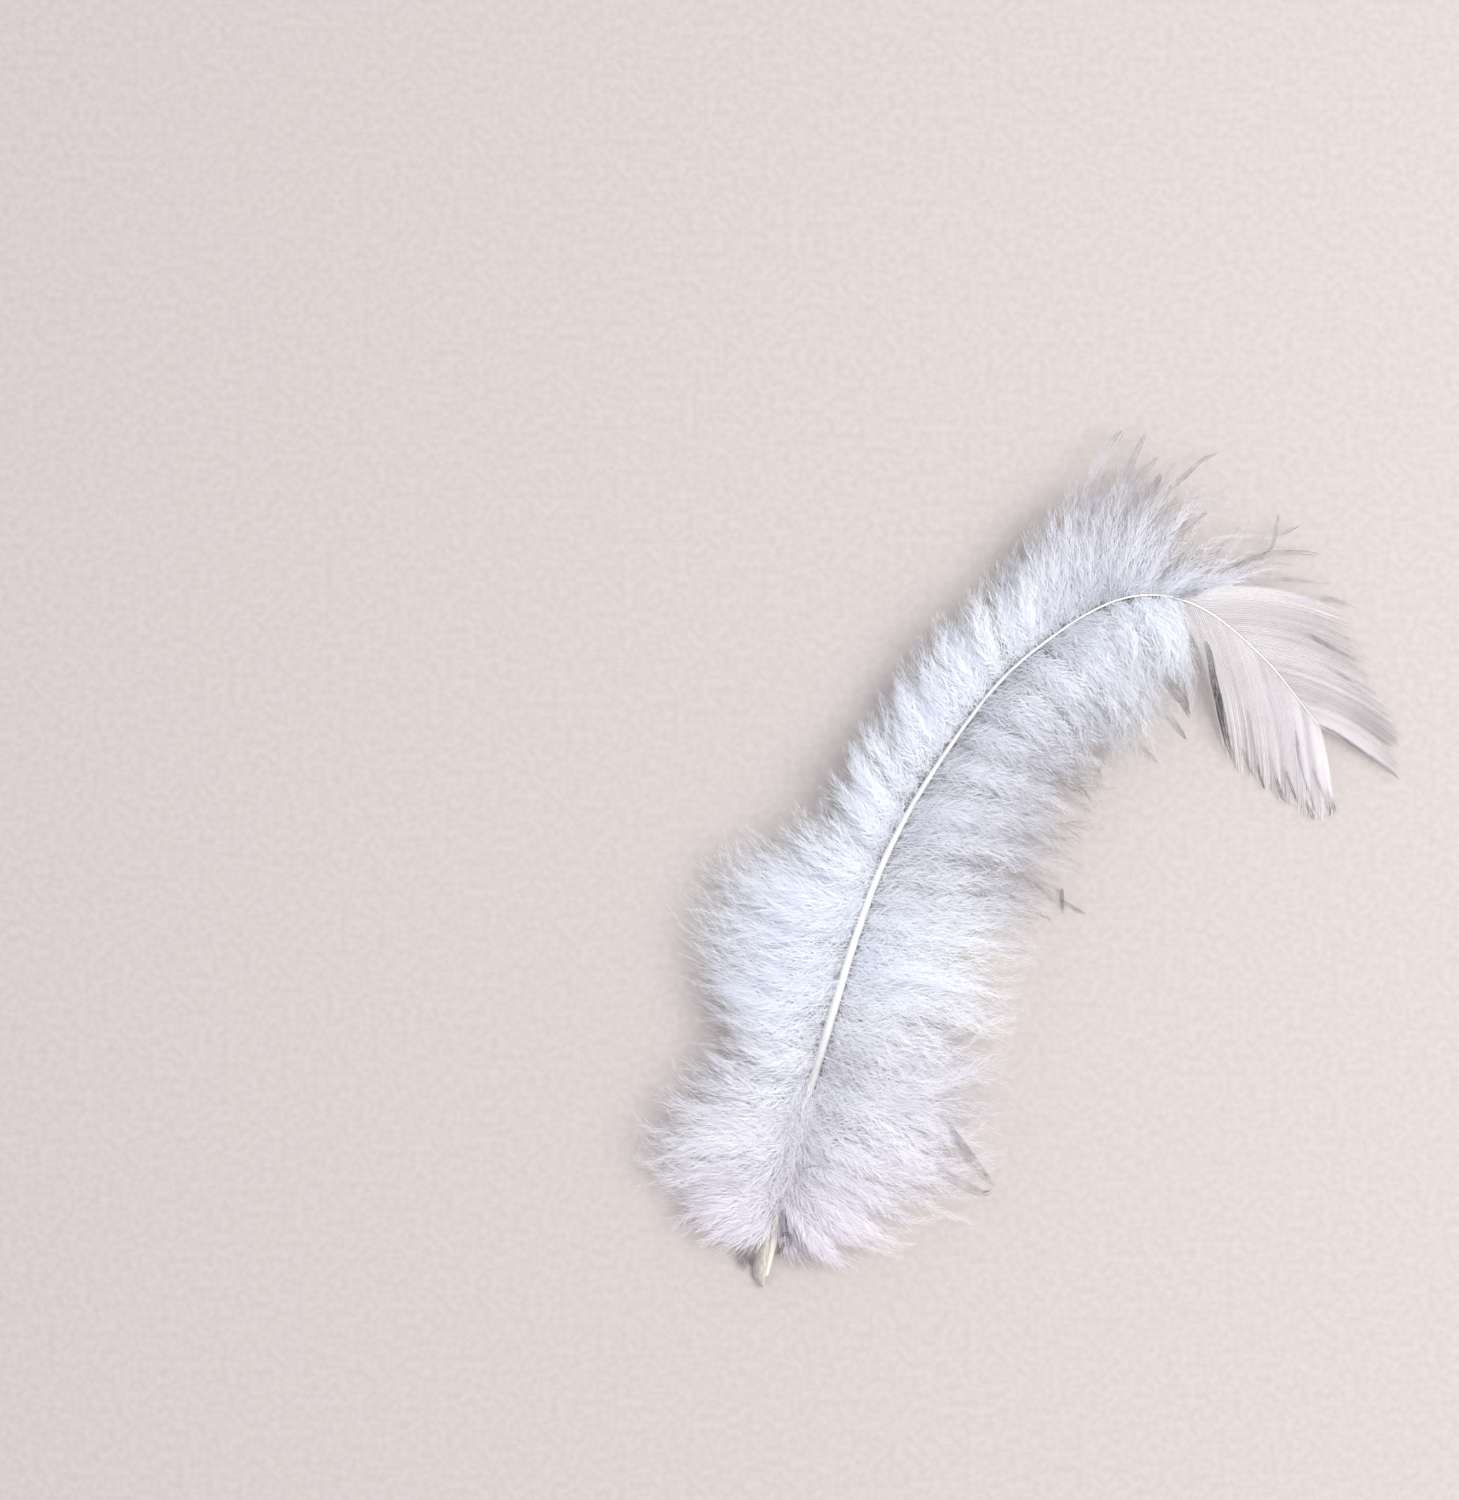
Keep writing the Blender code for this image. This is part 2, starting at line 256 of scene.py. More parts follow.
# A new material, its shader with the values that are the same all over, and the object's own coordinates
def newMaterial(name, values):
    material = bpy.data.materials.new(name)
    material.use_nodes = True
    shader = material.node_tree.nodes["Principled BSDF"]
    setInputs(material, shader, values)
    return material, shader, addNode(material, "ShaderNodeTexCoord").outputs["Object"]


# Gives the shader this colour and lets part of the light through, as threads this thin do
def letThrough(material, shader, tint, share):
    setInputs(material, shader, links={"Base Color": tint})
    through = addNode(material, "ShaderNodeBsdfTranslucent", links={"Color": tint})
    mixed = addNode(
        material, "ShaderNodeMixShader", values={0: share},
        links={1: shader.outputs["BSDF"], 2: through.outputs["BSDF"]},
    )
    output = material.node_tree.nodes["Material Output"]
    setInputs(material, output, links={"Surface": mixed.outputs["Shader"]})


# Fine grain of the plan's size in mm, which also makes the surface a little uneven
def addGrain(material, shader, place, plan, detail):
    grain = addNode(
        material, "ShaderNodeTexNoise", values={"Scale": 1 / (plan["grain"] * mm), "Detail": detail},
        links={"Vector": place},
    )
    bump = addNode(
        material, "ShaderNodeBump", values={"Strength": plan["bump"], "Distance": plan["bumpDepth"] * mm},
        links={"Height": grain.outputs["Fac"]},
    )
    setInputs(material, shader, links={"Normal": bump.outputs["Normal"]})
    return grain.outputs["Fac"]


# Feather keratin, grown as fine loose threads: matt, cool white. The tone on its points, which carries
# painted light and shade, picks each thread's colour, and soft patches the size of a tuft change it, painted
# light and shade of tufts that catch more or less light. It is less blue towards the quill: those stops go
# along the feather, between its ends in mm
def downKeratin():
    plan = {
        "shades": [
            (0.0, "#5A5655"), (0.12, "#B2AEAE"), (0.3, "#EDECEF"), (0.5, "#F8F8FA"), (0.7, "#FEFEFF"),
            (0.85, "#FCFDFF"), (1.0, "#FBFCFF"),
        ],
        "along": [(0.0, "#FFFDFE"), (0.2, "#FDFDFE"), (0.4, "#FDFEFF")],
        "ends": (-51, 51), "patchSize": 4.5, "patchDepth": 0.5, "through": 0.7,
    }
    material, shader, place = newMaterial(
        "downKeratin", {"Roughness": 0.62, "IOR": keratinIor, "Specular IOR Level": 0.3}
    )
    patches = addNode(
        material, "ShaderNodeTexNoise",
        values={"Scale": 1 / (plan["patchSize"] * mm), "Detail": 3.0, "Roughness": 0.6},
        links={"Vector": place},
    )
    patch = addNode(
        material, "ShaderNodeMath", {"operation": "MULTIPLY_ADD"},
        {1: plan["patchDepth"], 2: -plan["patchDepth"] / 2}, {0: patches.outputs["Fac"]},
    )
    tone = addNode(material, "ShaderNodeAttribute", {"attribute_name": "tone"})
    shade = addNode(
        material, "ShaderNodeMath", {"operation": "ADD"},
        links={0: patch.outputs["Value"], 1: tone.outputs["Fac"]},
    )
    shades = addNode(
        material, "ShaderNodeValToRGB", links={"Fac": shade.outputs["Value"]}, stops=plan["shades"]
    )
    split = addNode(material, "ShaderNodeSeparateXYZ", links={"Vector": place})
    reach = addNode(
        material, "ShaderNodeMapRange",
        values={"From Min": plan["ends"][0] * mm, "From Max": plan["ends"][1] * mm},
        links={"Value": split.outputs["Y"]},
    )
    along = addNode(
        material, "ShaderNodeValToRGB", links={"Fac": reach.outputs["Result"]}, stops=plan["along"]
    )
    tinted = addNode(
        material, "ShaderNodeMix", {"data_type": "RGBA", "blend_type": "MULTIPLY"}, {"Factor": 1.0},
        {6: shades.outputs["Color"], 7: along.outputs["Color"]},
    )
    letThrough(material, shader, tinted.outputs[2], plan["through"])
    return material


# The flat, hooked barbs of the tip: the same keratin, smoother, so the surface's warmth shows between them
def vaneKeratin():
    plan = {
        "shades": [
            (0.0, "#5A5659"), (0.2, "#A9A5A7"), (0.45, "#DDD9DB"), (0.75, "#F4F2F4"), (1.0, "#FEFDFE"),
        ],
        "patchSize": 4.0, "patchDepth": 0.2, "through": 0.45,
    }
    material, shader, place = newMaterial("vaneKeratin", {"Roughness": 0.5, "IOR": keratinIor})
    patches = addNode(
        material, "ShaderNodeTexNoise",
        values={"Scale": 1 / (plan["patchSize"] * mm), "Detail": 2.0}, links={"Vector": place},
    )
    tone = addNode(material, "ShaderNodeAttribute", {"attribute_name": "tone"})
    shade = addNode(
        material, "ShaderNodeMath", {"operation": "MULTIPLY_ADD"}, {1: plan["patchDepth"]},
        {0: patches.outputs["Fac"], 2: tone.outputs["Fac"]},
    )
    shades = addNode(
        material, "ShaderNodeValToRGB", links={"Fac": shade.outputs["Value"]}, stops=plan["shades"]
    )
    letThrough(material, shader, shades.outputs["Color"], plan["through"])
    return material


# The shaft: solid keratin, smooth and a little glossy, yellower towards the hollow quill and darker, as
# painted shade, where the down's roots cover it. Its grain is too fine to show, so it is drawn 0.25 mm coarse
def shaftKeratin():
    plan = {
        "along": [
            (0.0, "#CEC9BD"), (0.06, "#D2CEC6"), (0.14, "#C4C0BE"), (0.21, "#B6B5B6"), (0.26, "#C6C6C8"),
            (0.35, "#D2D3D4"), (0.5, "#C9CBCE"), (0.6, "#C6C7CC"), (0.75, "#D2D2D5"), (1.0, "#CDCDCB"),
        ],
        "grain": 0.25, "stains": [(0.3, "#C9C1B0"), (0.7, "#FFFFFF")], "staining": 0.12,
        "roughness": (0.3, 0.46), "bump": 0.25, "bumpDepth": 0.03,
    }
    material, shader, place = newMaterial("shaftKeratin", {"IOR": keratinIor})
    along = addNode(material, "ShaderNodeAttribute", {"attribute_name": "along"})
    tint = addNode(material, "ShaderNodeValToRGB", links={"Fac": along.outputs["Fac"]}, stops=plan["along"])
    grain = addGrain(material, shader, place, plan, detail=4.0)
    stains = addNode(material, "ShaderNodeValToRGB", links={"Fac": grain}, stops=plan["stains"])
    stained = addNode(
        material, "ShaderNodeMix", {"data_type": "RGBA", "blend_type": "MULTIPLY"},
        {"Factor": plan["staining"]}, {6: tint.outputs["Color"], 7: stains.outputs["Color"]},
    )
    gloss = addNode(
        material, "ShaderNodeMapRange",
        values={"To Min": plan["roughness"][0], "To Max": plan["roughness"][1]}, links={"Value": grain},
    )
    setInputs(
        material, shader, links={"Base Color": stained.outputs[2], "Roughness": gloss.outputs["Result"]}
    )
    return material


# Dry scaly keratin of the sheath: thin, greyish, lets some light through, finely streaked along the quill
def sheathKeratin():
    plan = {
        "shades": [(0.3, "#B5AEA5"), (0.6, "#D8D2CA")], "grain": 0.5, "stretch": (3.0, 0.7, 1.0),
        "bump": 0.4, "bumpDepth": 0.05, "through": 0.35,
    }
    material, shader, place = newMaterial("sheathKeratin", {"Roughness": 0.5, "IOR": keratinIor})
    stretched = addNode(
        material, "ShaderNodeMapping", values={"Scale": plan["stretch"]}, links={"Vector": place}
    )
    streaks = addGrain(material, shader, stretched.outputs["Vector"], plan, detail=4.0)
    shades = addNode(material, "ShaderNodeValToRGB", links={"Fac": streaks}, stops=plan["shades"])
    letThrough(material, shader, shades.outputs["Color"], plan["through"])
    return material


# Pale uncoated paper: pinkish, matt. Its fibres are too fine to show, so their grain is drawn 0.9 mm coarse
def palePaper():
    plan = {"shades": [(0.35, "#A9A29F"), (0.65, "#B0A9A6")], "grain": 0.9, "bump": 0.2, "bumpDepth": 0.05}
    material, shader, place = newMaterial("palePaper", {"Roughness": 0.9})
    grain = addGrain(material, shader, place, plan, detail=3.0)
    shades = addNode(material, "ShaderNodeValToRGB", links={"Fac": grain}, stops=plan["shades"])
    setInputs(material, shader, links={"Base Color": shades.outputs["Color"]})
    return material


# Turns a shaped bmesh into a smooth object at the origin, sharp only at its real edges
def finishedPiece(name, mesh, material):
    data = bpy.data.meshes.new(name)
    mesh.to_mesh(data)
    mesh.free()
    data.shade_smooth()
    data.set_sharp_from_angle(angle=math.radians(sharpAngle))
    data.materials.append(material)
    piece = bpy.data.objects.new(name, data)
    bpy.context.scene.collection.objects.link(piece)
    print(name, "made")
    return piece


# Carries a unit circle to a cross-section of the shaft
def ringFrame(place, way, radius):
    forward = Vector(way).normalized()
    across = forward.cross(Vector((0, 0, 1))).normalized()
    over = across.cross(forward)
    carry = Matrix((across * radius, over * radius, forward)).transposed().to_4x4()
    carry.translation = Vector(place)
    return carry


# A ring drawn out from station to station; each point keeps its share of the shaft's length
def makeShaft():
    shares = np.linspace(0, 1, shaftPlan["stations"] + 1)
    places = np.concatenate([shaftPlace(shares), shaftHeight(shares)[:, None]], axis=1)
    ways = np.gradient(places, axis=0)
    radii = readProfile(shaftPlan["radius"], shares)
    carries = [ringFrame(*one) for one in zip(places.tolist(), ways.tolist(), radii.tolist())]
    mesh = bmesh.new()
    along = mesh.verts.layers.float.new("along")
    bmesh.ops.create_circle(mesh, cap_ends=False, radius=1.0, segments=shaftPlan["sides"])
    bmesh.ops.transform(mesh, matrix=carries[0], verts=mesh.verts)
    edges = list(mesh.edges)
    for before, after, share in zip(carries, carries[1:], shares[1:]):
        made = bmesh.ops.extrude_edge_only(mesh, edges=edges)["geom"]
        verts = [item for item in made if isinstance(item, bmesh.types.BMVert)]
        edges = [item for item in made if isinstance(item, bmesh.types.BMEdge)]
        bmesh.ops.transform(mesh, matrix=after @ before.inverted(), verts=verts)
        for vert in verts:
            vert[along] = share
    bmesh.ops.holes_fill(mesh, edges=mesh.edges)
    cutQuill(mesh, Vector(places[0]), Vector(ways[0]).normalized())
    bmesh.ops.scale(mesh, vec=(mm, mm, mm), verts=mesh.verts)
    bmesh.ops.recalc_face_normals(mesh, faces=mesh.faces)
    return finishedPiece("shaft", mesh, shaftKeratin())


# The slanting cut across the quill's end
def cutQuill(mesh, end, way):
    across = way.cross(Vector((0, 0, 1)))
    slope = Matrix.Rotation(math.radians(shaftPlan["cutSlope"]), 3, across)
    geometry = mesh.verts[:] + mesh.edges[:] + mesh.faces[:]
    bmesh.ops.bisect_plane(
        mesh, geom=geometry, plane_co=end + way * shaftPlan["cut"], plane_no=-(slope @ way), clear_outer=True
    )
    bmesh.ops.holes_fill(mesh, edges=mesh.edges)


# What is left of the sheath round the quill's end, a thin flap to its left: (inner edge, outer edge, height)
sheathPlan = {
    "rows": [
        ((-30.2, -44.0), (-31.0, -44.2), 2.3), ((-30.4, -45.4), (-31.7, -45.6), 2.4),
        ((-30.55, -46.8), (-32.05, -47.1), 2.3), ((-30.7, -48.4), (-32.35, -48.9), 2.0),
        ((-30.95, -49.9), (-32.3, -50.2), 1.65), ((-31.1, -51.0), (-31.4, -51.35), 1.4),
    ],
    "steps": 4, "across": 8, "crown": 0.25, "drop": 1.1, "thickness": 0.09,
}


def makeSheath():
    edges = [[row[i] for row in sheathPlan["rows"]] for i in (0, 1)]
    inner, outer = [smoothLine(edge, sheathPlan["steps"]) for edge in edges]
    height = smoothLine([(row[2],) for row in sheathPlan["rows"]], sheathPlan["steps"])[:, 0]
    rows, across = len(inner), sheathPlan["across"]
    mesh = bmesh.new()
    bmesh.ops.create_grid(mesh, x_segments=across, y_segments=rows - 1, size=1.0)
    for vert in mesh.verts:
        side = (vert.co.x + 1) / 2
        row = round((vert.co.y + 1) / 2 * (rows - 1))
        level = inner[row] * (1 - side) + outer[row] * side
        rise = height[row] + 4 * sheathPlan["crown"] * side * (1 - side) - sheathPlan["drop"] * side ** 2
        vert.co = Vector((level[0], level[1], rise)) * mm
    bmesh.ops.recalc_face_normals(mesh, faces=mesh.faces)
    bmesh.ops.solidify(mesh, geom=mesh.faces[:], thickness=sheathPlan["thickness"] * mm)
    bmesh.ops.recalc_face_normals(mesh, faces=mesh.faces)
    return finishedPiece("sheath", mesh, sheathKeratin())


# The down on each side of the shaft: (share of the shaft, degrees from its way, length in mm, closeness of
# barbs). The rest goes by share of the shaft too: curl, degrees that a barb turns; firmness, how far barbs
# gather into locks; shortest, the shortest barbs' share of the length; toneWithPaintedLight, the barbs' tone,
# partly painted light and shade: lighter on the left lobes, darker in the valleys and on the right;
# paintedTipShading, the painted shade that darkens their tips; paintedRootShade, the painted shade that
# darkens their roots beside the shaft; rise, mm that tips stand higher; settle, the share of its height that
# the down keeps; fluff, the barbules' share of their length
downPlan = {
    leftSide: [
        (0.06, 130, 6.5, 1.2), (0.09, 114, 13.5, 1.2), (0.12, 103, 18.5, 1.1), (0.15, 96, 20.5, 1.1),
        (0.175, 94, 17.5, 1.0), (0.2, 90, 14.0, 1.0), (0.24, 84, 15.5, 1.0), (0.29, 96, 20.0, 1.1),
        (0.35, 94, 22.5, 1.2), (0.39, 80, 15.0, 1.1), (0.42, 68, 11.0, 0.8), (0.48, 64, 11.5, 0.75),
        (0.67, 62, 12.0, 0.8), (0.70, 62, 15.5, 1.1), (0.74, 59, 18.0, 1.4), (0.765, 53, 18.5, 1.5),
        (0.785, 38, 17.0, 1.5), (0.80, 32, 16.0, 1.4), (0.82, 28, 15.5, 1.2),
    ],
    rightSide: [
        (0.06, 140, 5.4, 1.2), (0.09, 124, 12.5, 1.2), (0.12, 102, 18.0, 1.1), (0.16, 92, 25.0, 1.1),
        (0.25, 84, 23.0, 1.0), (0.34, 76, 22.0, 1.0), (0.42, 84, 24.0, 1.0), (0.48, 81, 23.0, 0.95),
        (0.59, 82, 18.5, 0.95), (0.68, 88, 19.5, 0.9), (0.77, 76, 15.5, 1.0), (0.80, 66, 12.0, 1.0),
        (0.825, 56, 15.0, 0.6),
    ],
    "curl": {
        leftSide: [(0.0, 26), (0.34, 26), (0.42, 44), (0.72, 48), (0.78, 30), (0.82, 16)],
        rightSide: [(0.0, 26), (0.28, 20), (0.36, -10), (0.44, -34), (0.68, -36), (0.76, -8), (0.825, 8)],
    },
    "firmness": {
        leftSide: [
            (0.0, 0.35), (0.24, 0.45), (0.3, 0.6), (0.4, 0.4), (0.45, 0.15), (0.66, 0.15), (0.72, 0.6),
            (0.82, 0.7),
        ],
        rightSide: [(0.0, 0.15), (0.36, 0.2), (0.48, 0.4), (0.7, 0.45), (0.825, 0.7)],
    },
    "shortest": {
        leftSide: [(0.0, 0.6), (0.69, 0.6), (0.74, 0.3), (0.78, 0.15), (0.82, 0.15)],
        rightSide: [(0.0, 0.6), (0.36, 0.6), (0.45, 0.45), (0.7, 0.45), (0.825, 0.4)],
    },
    # painted shade: the tips are made darker, as tips seen in shade against the surface
    "paintedTipShading": {
        leftSide: [(0.0, -0.1), (0.68, -0.1), (0.74, -0.3), (0.82, -0.3)],
        rightSide: [(0.0, -0.15), (0.34, -0.2), (0.48, -0.4), (0.825, -0.35)],
    },
    # painted light and shade: lighter on the left lobes, darker in the valleys, on the right and at its
    # shaded lower end
    "toneWithPaintedLight": {
        leftSide: [
            (0.0, 0.68), (0.2, 0.7), (0.28, 0.92), (0.62, 0.95), (0.7, 0.58), (0.77, 0.52), (0.82, 0.46),
        ],
        rightSide: [
            (0.0, 0.45), (0.08, 0.55), (0.12, 0.66), (0.19, 0.66), (0.23, 0.55), (0.27, 0.66), (0.31, 0.88),
            (0.4, 0.54), (0.6, 0.52), (0.7, 0.63), (0.76, 0.7), (0.825, 0.74),
        ],
    },
    "rise": {
        leftSide: [(0.0, 0.0), (0.26, 0.5), (0.34, 1.2), (0.42, 2.4), (0.66, 2.4), (0.72, 1.0), (0.8, 0.0)],
        rightSide: [(0.0, 0.0), (1.0, 0.0)],
    },
    "settle": {
        leftSide: [(0.0, 1.0), (0.76, 1.0), (0.82, 0.6)],
        rightSide: [(0.0, 1.0), (0.73, 1.0), (0.79, 0.55), (0.825, 0.2)],
    },
    # painted shade: the roots beside the raised shaft are darkened where it shades them
    "paintedRootShade": {
        leftSide: [
            (0.0, 0.15), (0.2, 0.25), (0.3, 0.55), (0.45, 0.55), (0.55, 0.35), (0.7, 0.2), (0.82, 0.0),
        ],
        rightSide: [(0.0, 0.1), (0.22, 0.15), (0.3, 0.0), (0.42, 0.0), (0.5, 0.2), (0.65, 0.2), (0.74, 0.0)],
    },
    "fluff": {
        leftSide: [(0.0, 1.0), (0.74, 0.95), (0.77, 0.7), (0.79, 0.45), (0.82, 0.35)],
        rightSide: [(0.0, 1.0), (0.76, 0.9), (0.8, 0.65), (0.825, 0.35)],
    },
    "samples": 200, "steps": 9, "lockSpacing": 3.4, "rootSide": 0.5, "fullLength": 9.0, "fullHeight": 4.0,
    "ramusRadius": (0.04, 0.007), "barbules": 83,
}
# The down's layers, from the top: part of the barbs, share of their length, heights in mm, share of the rise,
# tone, lighter on the top layer and darker on the lowest as painted light and shade, and how high on the
# shaft they root, in its radii
downLayers = [
    {"part": 0.38, "reach": 0.97, "tipHeight": 5.6, "arch": 3.2, "rise": 1.0, "tone": 0.04, "root": 0.55},
    {"part": 0.34, "reach": 0.97, "tipHeight": 3.0, "arch": 1.8, "rise": 0.8, "tone": 0.0, "root": 0.0},
    {"part": 0.28, "reach": 0.94, "tipHeight": 0.8, "arch": -1.0, "rise": 0.3, "tone": -0.08, "root": -0.5},
]
downPieces = [
    {"name": "leftLowerDown", "side": leftSide, "start": 0.062, "end": 0.39, "barbs": 350},
    {"name": "leftUpperDown", "side": leftSide, "start": 0.39, "end": 0.82, "barbs": 350},
    {"name": "rightLowerDown", "side": rightSide, "start": 0.062, "end": 0.415, "barbs": 355},
    {"name": "rightUpperDown", "side": rightSide, "start": 0.405, "end": 0.825, "barbs": 355},
]


# Places along the shaft whose barbs are evenly far apart at their middles, or closer where the plan says so
def evenShares(side, start, end, at):
    shares = np.linspace(start, end, downPlan["samples"])
    profile = downPlan[side]
    heading = turned(shaftWay(shares), side * readProfile(profile, shares, 1))
    middles = shaftPlace(shares) + heading * readProfile(profile, shares, 2)[:, None] / 2
    gaps = np.linalg.norm(np.diff(middles, axis=0), axis=1) * readProfile(profile, shares[1:], 3)
    covered = np.concatenate([[0], np.cumsum(gaps)])
    return np.interp(at, covered / covered[-1], shares)


# One layer's barbs at the given shares; where they are short or the shaft is low, they stand lower too
def growLayer(side, shares, layer, turn, stretch, lift, arch):
    profile = downPlan[side]
    way = shaftWay(shares)
    base = shaftHeight(shares)
    radius = readProfile(shaftPlan["radius"], shares)
    root = shaftPlace(shares) + turned(way, side * 90.0) * downPlan["rootSide"] * radius[:, None]
    length = readProfile(profile, shares, 2) * layer["reach"] * stretch
    size = np.minimum(1, length / downPlan["fullLength"]) * np.minimum(1, base / downPlan["fullHeight"])
    size = size * readProfile(downPlan["settle"][side], shares)
    return growPaths(
        root, way, side, readProfile(profile, shares, 1) + turn, length,
        readProfile(downPlan["curl"][side], shares), base + layer["root"] * radius,
        (layer["tipHeight"] + lift) * size + layer["rise"] * readProfile(downPlan["rise"][side], shares),
        (layer["arch"] + arch) * size, downPlan["steps"],
    )


# How much barbs and the locks that they gather into differ. Rows are means and spreads: of turn in degrees,
# stretch, lift and arch in mm for a lock, and the same but for stretch for a barb. Swing is in mm
downSpread = {
    "lockPlace": (0.1, 0.9), "lock": [(0, 10), (0.98, 0.09), (0, 0.6), (0, 0.5)], "place": 0.95,
    "barb": [(0, 5), (0, 0.9), (0, 0.9)], "longest": 1.04, "longer": 0.8, "gather": (0.6, 1.15),
    "gatherLong": (1.6, -0.5), "mostGather": 0.95, "swing": (1.9, 0.25), "swingPace": 0.7,
    "lockTone": 0.2, "tone": 0.12,
}


def growDown(draw, piece, layer):
    side, start, end = piece["side"], piece["start"], piece["end"]
    count = round(piece["barbs"] * layer["part"])
    locks = round((end - start) * shaftLength / downPlan["lockSpacing"])
    lockAt = (np.arange(locks) + draw.uniform(*downSpread["lockPlace"], locks)) / locks
    guides = growLayer(
        side, evenShares(side, start, end, lockAt), layer,
        *[draw.normal(*spread, locks) for spread in downSpread["lock"]],
    )
    lock = np.sort(draw.integers(0, locks, count))
    at = lockAt[lock] + draw.normal(0, downSpread["place"] / locks, count)
    at = 1 - np.abs(1 - np.abs(at))  # what passes an end of the piece turns back into it
    shares = evenShares(side, start, end, at)
    firmness, shortest, toneWithPaintedLight, *traits = [
        readProfile(downPlan[key][side], shares)
        for key in ("firmness", "shortest", "toneWithPaintedLight", "fluff", "paintedTipShading", "paintedRootShade")
    ]
    longer = draw.uniform(0, 1, count) ** downSpread["longer"]
    stretch = shortest + (downSpread["longest"] - shortest) * longer
    turn, lift, arch = [draw.normal(*spread, count) for spread in downSpread["barb"]]
    paths = growLayer(side, shares, layer, turn, stretch, lift, arch)
    share = np.linspace(0, 1, paths.shape[1])
    steep, offset = downSpread["gatherLong"]
    gather = firmness * draw.uniform(*downSpread["gather"], locks)[lock]
    gather = gather * np.clip(stretch * steep + offset, 0, 1)
    gather = (np.minimum(gather, downSpread["mostGather"])[:, None] * share ** 2)[..., None]
    paths = paths * (1 - gather) + guides[lock] * gather
    together, alone = downSpread["swing"]
    paths = sway(draw, paths, together, at * locks * downSpread["swingPace"])
    paths = sway(draw, paths, alone, np.arange(count))
    # The tone carries painted light and shade, along the shaft and by layer
    tones = toneWithPaintedLight + layer["tone"]
    tones = tones + downSpread["lockTone"] * firmness * draw.uniform(-1, 1, locks)[lock]
    return paths, tones + downSpread["tone"] * draw.uniform(-1, 1, count), *traits


# Barbs from this long on, in mm, sway in full; more to the sides than up and down
swayPlan = {"fullLength": 20, "pace": (0.5, 1.3), "scales": (1.0, 0.5)}


# Slow side-to-side bends, growing towards the tips; barbs whose places are close bend almost alike
def sway(draw, paths, size, places):
    knots = np.arange(int(places.max()) + 2)
    share = np.linspace(0, 1, paths.shape[1])
    moved = paths
    spans = np.linalg.norm(paths[:, -1] - paths[:, 0], axis=1)
    size = size * np.minimum(1, spans / swayPlan["fullLength"])[:, None] ** 2
    for side, scale in zip(sidesOf(unit(np.gradient(paths, axis=1))), swayPlan["scales"]):
        drawn = (
            draw.uniform(*swayPlan["pace"], len(knots)), draw.uniform(0, 1, len(knots)),
            draw.normal(0, scale, len(knots)),
        )
        pace, start, reach = [np.interp(places, knots, values)[:, None] for values in drawn]
        wave = np.sin(2 * math.pi * (pace * share + start))
        moved = moved + side * (size * reach * share * wave)[..., None]
    return moved


# Barbules, fewer and thicker than real ones, which are 0.01 mm thick and too fine to show. Fullness (length),
# radius and lean go by share of the barb; mm, and degrees but for roll, twist and bend, which are radians.
# The two rows of barbules wind round a barb by the twist, and each barbule bends at its knee
barbulePlan = {
    "first": 0.01, "covered": 0.98, "crowding": 1.1, "length": 3.1, "lengths": (0.5, 1.2),
    "fullness": [(0, 0.8), (0.16, 1.0), (0.6, 0.95), (0.9, 0.55), (1, 0.3)],
    "radius": [(0, 0.034), (0.3, 0.042), (0.65, 0.031), (0.85, 0.019), (1, 0.009)],
    "roll": 0.5, "rollSpread": 0.4, "twist": 1.0, "lean": (36, 12), "leanSpread": 8, "bend": 0.25,
    # paintedShadeReach: the share of a barb over which the painted root shade dies away
    "knee": 0.45, "paintedShadeReach": 0.16, "toneSpread": 0.07,
}


def growBarbules(draw, paths, tones, fluff, paintedTipShading, paintedRootShade, each):
    plan, count = barbulePlan, len(paths)
    at = (np.arange(each) + draw.uniform(0, 1, (count, each))) / each
    at = plan["first"] + plan["covered"] * at ** plan["crowding"]
    feet, ways = readPaths(paths, at)
    level, over = sidesOf(ways)
    roll = draw.uniform(-plan["roll"], plan["roll"], (count, 1))
    roll = roll + draw.uniform(-1, 1, (count, 1)) * plan["twist"] * at
    roll = roll + draw.normal(0, plan["rollSpread"], (count, each))
    sideways = level * np.cos(roll)[..., None] + over * np.sin(roll)[..., None]
    sideways = sideways * draw.choice([-1.0, 1.0], (count, each))[..., None]
    lean = np.interp(at, [0, 1], plan["lean"]) + draw.normal(0, plan["leanSpread"], (count, each))
    lean, bend = np.radians(lean)[..., None], plan["bend"]
    first = ways * np.cos(lean + bend) + sideways * np.sin(lean + bend)
    second = ways * np.cos(lean - bend) + sideways * np.sin(lean - bend)
    lengths = plan["length"] * fluff[:, None] * readProfile(plan["fullness"], at)
    lengths = (lengths * draw.uniform(*plan["lengths"], (count, each)))[..., None]
    # Painted shade darkens the roots beside the shaft, and the painted tip shading changes the tips' tone
    paintedRootShading = paintedRootShade[:, None] * np.exp(-at / plan["paintedShadeReach"])
    shades = tones[:, None] + paintedTipShading[:, None] * at ** 2 - paintedRootShading
    shades = shades + draw.normal(0, plan["toneSpread"], (count, each))
    middles = feet + first * lengths * plan["knee"]
    tips = middles + second * lengths * (1 - plan["knee"])
    return threads(feet, middles, tips, readProfile(plan["radius"], at), shades)


# The barbs' own stems, thinner towards their tips, where the painted tip shading changes their tone
def growRami(paths, thickness, tones, paintedTipShading):
    share = np.linspace(0, 1, paths.shape[1])
    radii = np.broadcast_to(np.linspace(*thickness, paths.shape[1]), paths.shape[:2])
    return tubes(paths, radii, tones[:, None] + np.reshape(paintedTipShading, (-1, 1)) * share ** 2)


